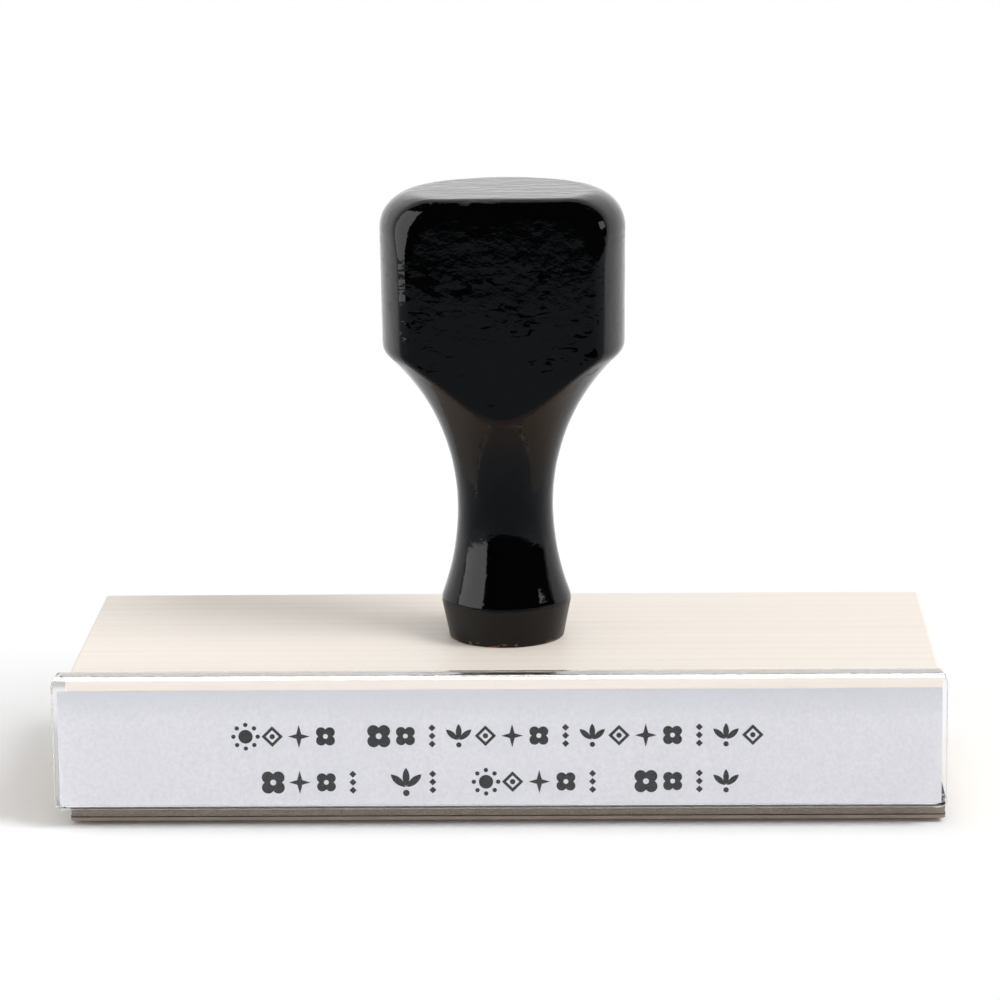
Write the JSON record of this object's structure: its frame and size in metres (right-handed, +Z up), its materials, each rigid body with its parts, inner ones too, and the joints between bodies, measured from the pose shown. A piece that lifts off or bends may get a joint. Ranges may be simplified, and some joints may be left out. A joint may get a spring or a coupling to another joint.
{
  "type": "rubber stamp",
  "caption": "Long hand stamp: black lacquered turned handle on a pale maple mount, clear clip-on index channel with paper label, foam cushion and raised rubber die.",
  "frame": {"origin": "on the handle's axis, in the plane of the die's raised face that meets the paper", "axes": "+X along the stamp to the right as the index is read, -Y the front with the index, +Z up along the handle"},
  "size_m": [0.1432, 0.0588, 0.0993],
  "materials": {
    "black_lacquered_wood": "high-gloss black lacquer over turned hardwood",
    "zinc_plated_steel": "bright zinc plate",
    "maple": "fine sanded, unvarnished",
    "clear_plastic": "clear, extruded",
    "label_paper": "smooth white paper",
    "adhesive_film": "double-sided adhesive film",
    "foam_rubber": "fine closed-cell foam",
    "die_rubber": "matte engraved rubber"
  },
  "bodies": {
    "mount": {"mount_block": "maple", "handle": "black_lacquered_wood", "handle_screw": "zinc_plated_steel", "cushion_film": "adhesive_film", "cushion": "foam_rubber"},
    "index": {"index_cover": "clear_plastic", "index_label": "label_paper"},
    "die": {"rubber_die": "die_rubber", "die_film": "adhesive_film"}
  },
  "joints": [
    {"name": "cover_slide", "type": "slide", "parent": "mount", "child": "index", "axis": [1, 0, 0], "range_m": [-0.142, 0.143]},
    {"name": "die_press", "type": "slide", "parent": "mount", "child": "die", "axis": [0, 0, 1], "range_m": [0, 0.0008], "stiffness_N_per_m": 60000, "deforming": ["cushion"]}
  ]
}
